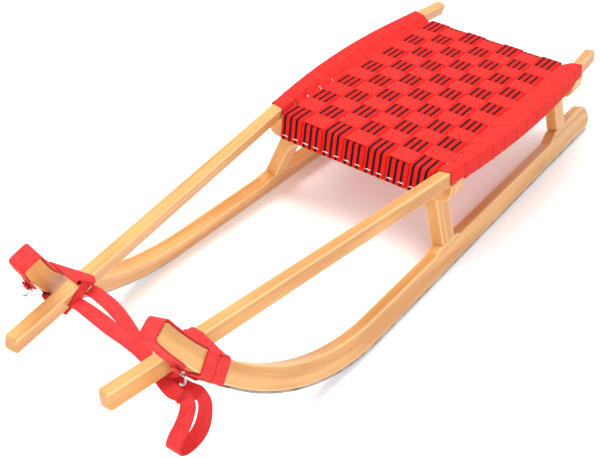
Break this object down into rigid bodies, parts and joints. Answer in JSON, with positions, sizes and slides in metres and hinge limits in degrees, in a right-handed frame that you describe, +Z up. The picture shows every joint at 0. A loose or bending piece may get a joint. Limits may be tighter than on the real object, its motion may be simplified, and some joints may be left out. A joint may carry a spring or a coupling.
{
  "type": "horned wooden toboggan",
  "caption": "Wooden toboggan with horned runners, side rails and a seat woven from red webbing.",
  "frame": {"origin": "on the ground under the middle of the sled: the bottom centre of its box", "axes": "+Z up, -Y towards the horned front, +Y towards the rear, +X towards the sled's side that is on the right when it is seen from the front with Z up"},
  "size_m": [0.369, 1.25, 0.2406],
  "materials": {
    "beech": "satin clear lacquer over pale beech, grain along each member",
    "dowel_beech": "plain unlacquered beech dowel",
    "shoe_steel": "rolled steel strip, worn bright underneath",
    "zinc_screws": "zinc-plated screws",
    "zinc_tacks": "zinc-plated tacks",
    "seat_webbing_plain": "plain-woven bright red webbing, matt",
    "seat_webbing_striped": "bright red webbing with three thin near-black stripes along it",
    "pull_webbing": "ribbed crimson-red webbing",
    "bright_hook": "bright plated wire"
  },
  "bodies": {
    "sled": {"runner_left": "beech", "runner_right": "beech", "rail_left": "beech", "rail_right": "beech", "front_crossbar": "beech", "rear_crossbar": "beech", "front_leg_left": "beech", "front_leg_right": "beech", "rear_leg_left": "beech", "rear_leg_right": "beech", "front_leg_dowels": "dowel_beech", "rear_leg_dowels": "dowel_beech", "shoe_left": "shoe_steel", "shoe_right": "shoe_steel", "shoe_screws_left": "zinc_screws", "shoe_screws_right": "zinc_screws", "front_rail_screws": "zinc_screws", "rear_rail_screws": "zinc_screws", "strap_tacks_left": "zinc_tacks", "strap_tacks_right": "zinc_tacks", "cross_strap_01": "seat_webbing_plain", "cross_strap_02": "seat_webbing_plain", "cross_strap_03": "seat_webbing_plain", "cross_strap_04": "seat_webbing_plain", "cross_strap_05": "seat_webbing_plain", "cross_strap_06": "seat_webbing_plain", "cross_strap_07": "seat_webbing_plain", "cross_strap_08": "seat_webbing_plain", "cross_strap_09": "seat_webbing_plain", "cross_strap_10": "seat_webbing_plain", "cross_strap_11": "seat_webbing_plain", "cross_strap_12": "seat_webbing_plain", "cross_strap_13": "seat_webbing_plain", "long_strap_1": "seat_webbing_striped", "long_strap_2": "seat_webbing_striped", "long_strap_3": "seat_webbing_striped", "long_strap_4": "seat_webbing_striped", "long_strap_5": "seat_webbing_striped", "long_strap_6": "seat_webbing_striped", "long_strap_7": "seat_webbing_striped", "horn_loop_left": "pull_webbing", "horn_loop_right": "pull_webbing", "horn_binding_left": "pull_webbing", "horn_binding_right": "pull_webbing", "pull_strap": "pull_webbing"},
    "hook_l": {"hook_left": "bright_hook"},
    "hook_r": {"hook_right": "bright_hook"}
  },
  "joints": [
    {"name": "hook_left_swing", "type": "hinge", "parent": "sled", "child": "hook_l", "pos_m": [-0.11311, -0.55727, 0.16922], "axis": [-0.9455, 0, 0.3256], "range_deg": [-24, 140]},
    {"name": "hook_right_swing", "type": "hinge", "parent": "sled", "child": "hook_r", "pos_m": [0.11311, -0.55727, 0.16922], "axis": [-0.9455, 0, -0.3256], "range_deg": [-24, 140]}
  ]
}
